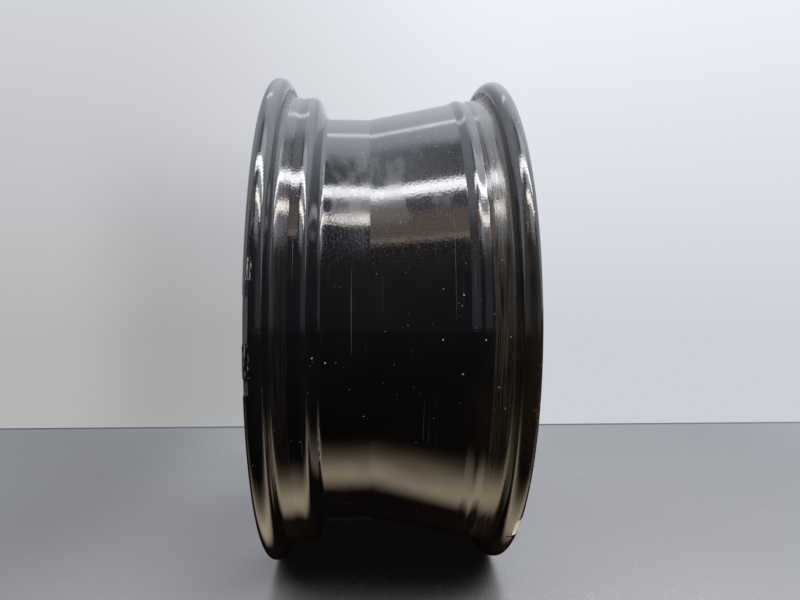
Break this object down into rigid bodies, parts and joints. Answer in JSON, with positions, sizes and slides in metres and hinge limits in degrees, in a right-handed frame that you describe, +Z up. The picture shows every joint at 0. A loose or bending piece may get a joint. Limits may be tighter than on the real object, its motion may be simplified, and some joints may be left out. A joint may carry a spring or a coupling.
{
  "type": "wheel rim",
  "caption": "One-piece cast road wheel without its tyre: two flanges, bead seats, drop centre, tapered barrel and spoked disc, with a snap-in tyre valve.",
  "frame": {"origin": "on the spin axis, midway between the bead sides of the two flanges, which is the middle of the wheel's box", "axes": "+Y along the spin axis towards the vehicle, so the street face looks along -Y; +Z up; the wheel stands as it does on a vehicle"},
  "size_m": [0.497, 0.2224, 0.497],
  "materials": {
    "black_paint": "gloss black paint on cast aluminium, with bare metal at the damage",
    "valve_rubber": "matte black rubber",
    "valve_brass": "dull brass",
    "cap_plastic": "satin black plastic"
  },
  "bodies": {
    "root": {"rim": "black_paint", "valve_body": "valve_rubber", "valve_stem": "valve_brass", "valve_core": "valve_brass", "valve_cap": "cap_plastic"}
  },
  "joints": []
}
